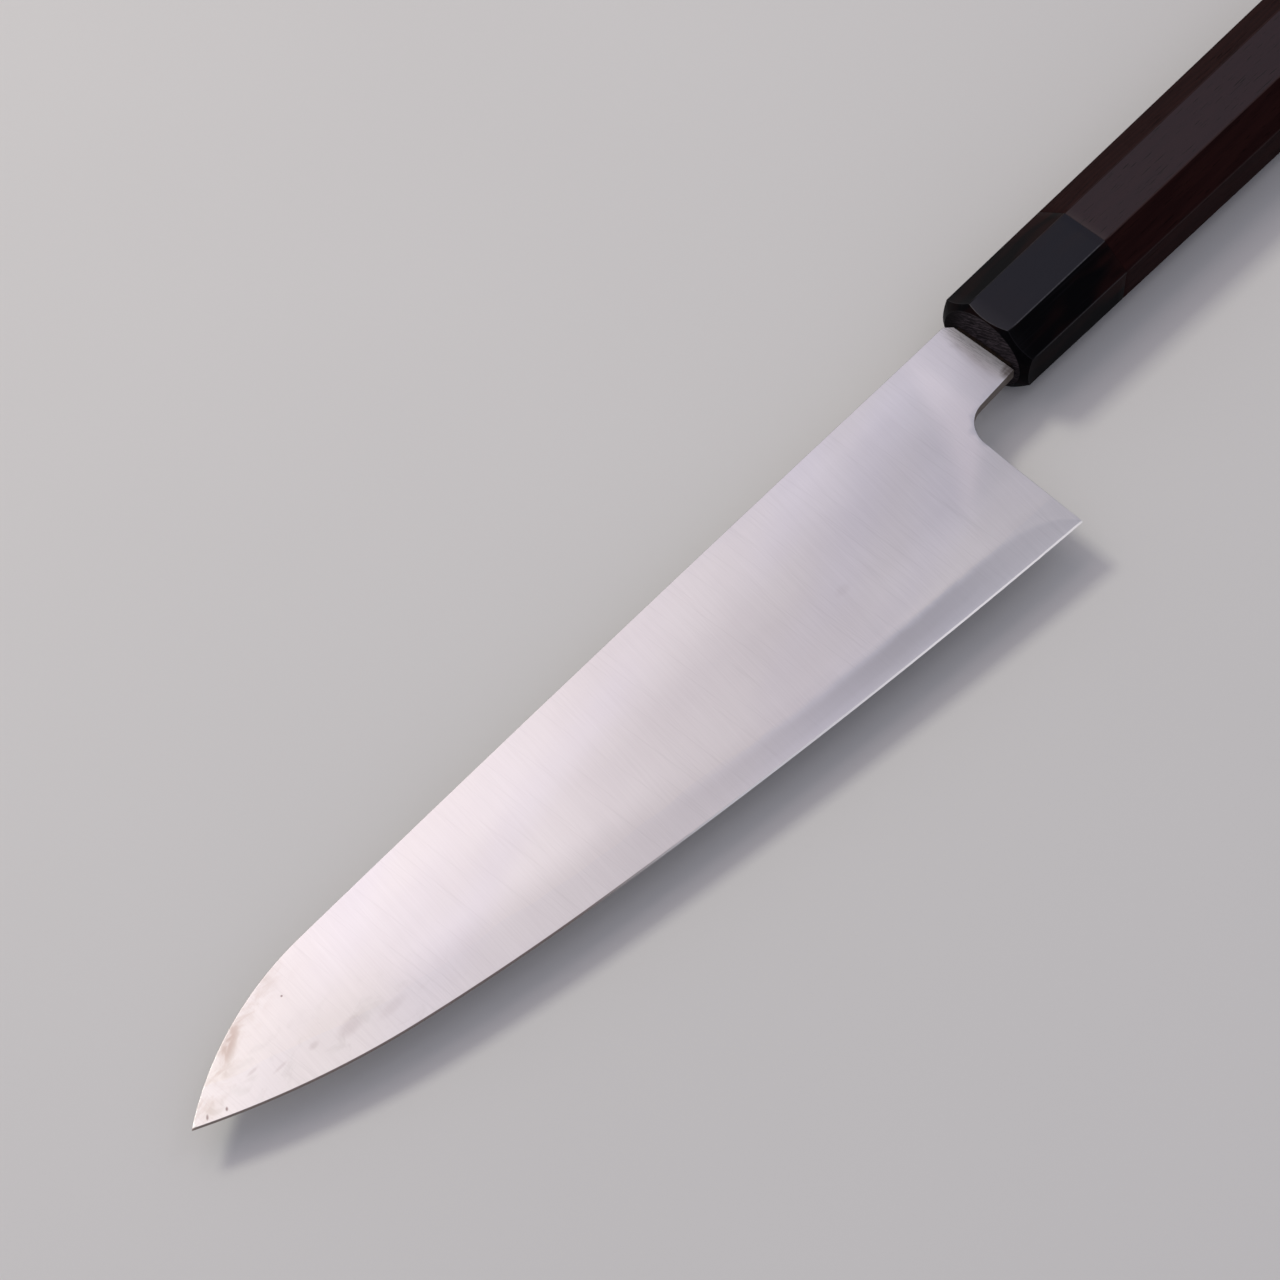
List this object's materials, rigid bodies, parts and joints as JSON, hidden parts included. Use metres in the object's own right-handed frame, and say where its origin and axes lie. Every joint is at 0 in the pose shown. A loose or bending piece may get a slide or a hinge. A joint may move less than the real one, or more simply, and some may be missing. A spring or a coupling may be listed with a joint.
{
  "type": "chef knife",
  "caption": "Chef knife with a long, gently curved layered-steel blade, a dark horn ferrule and a tapered octagonal hardwood grip, lying on its side.",
  "frame": {"origin": "bottom centre of the whole knife's bounding box, with the knife on its side", "axes": "+X along the handle's axis toward the blade tip, +Y toward the cutting edge, +Z out of the left face of the blade"},
  "size_m": [0.3638, 0.0532, 0.0201],
  "materials": {
    "core_steel": "polished hard steel, slightly bluish, fine cross scratches",
    "cladding_steel": "satin soft steel, hazy, fine scratches across the blade",
    "dark_seal": "matte dark filler",
    "horn": null,
    "dowel_wood": "plain turned hardwood",
    "adhesive": "cured resin",
    "grip_wood": "oiled dark red-brown hardwood with fine dark pores"
  },
  "bodies": {
    "root": {"hagane_core": "core_steel", "cladding_left": "cladding_steel", "cladding_right": "cladding_steel", "slot_seal": "dark_seal", "ferrule": "horn", "dowel": "dowel_wood", "tang_adhesive": "adhesive", "handle_body": "grip_wood"}
  },
  "joints": []
}
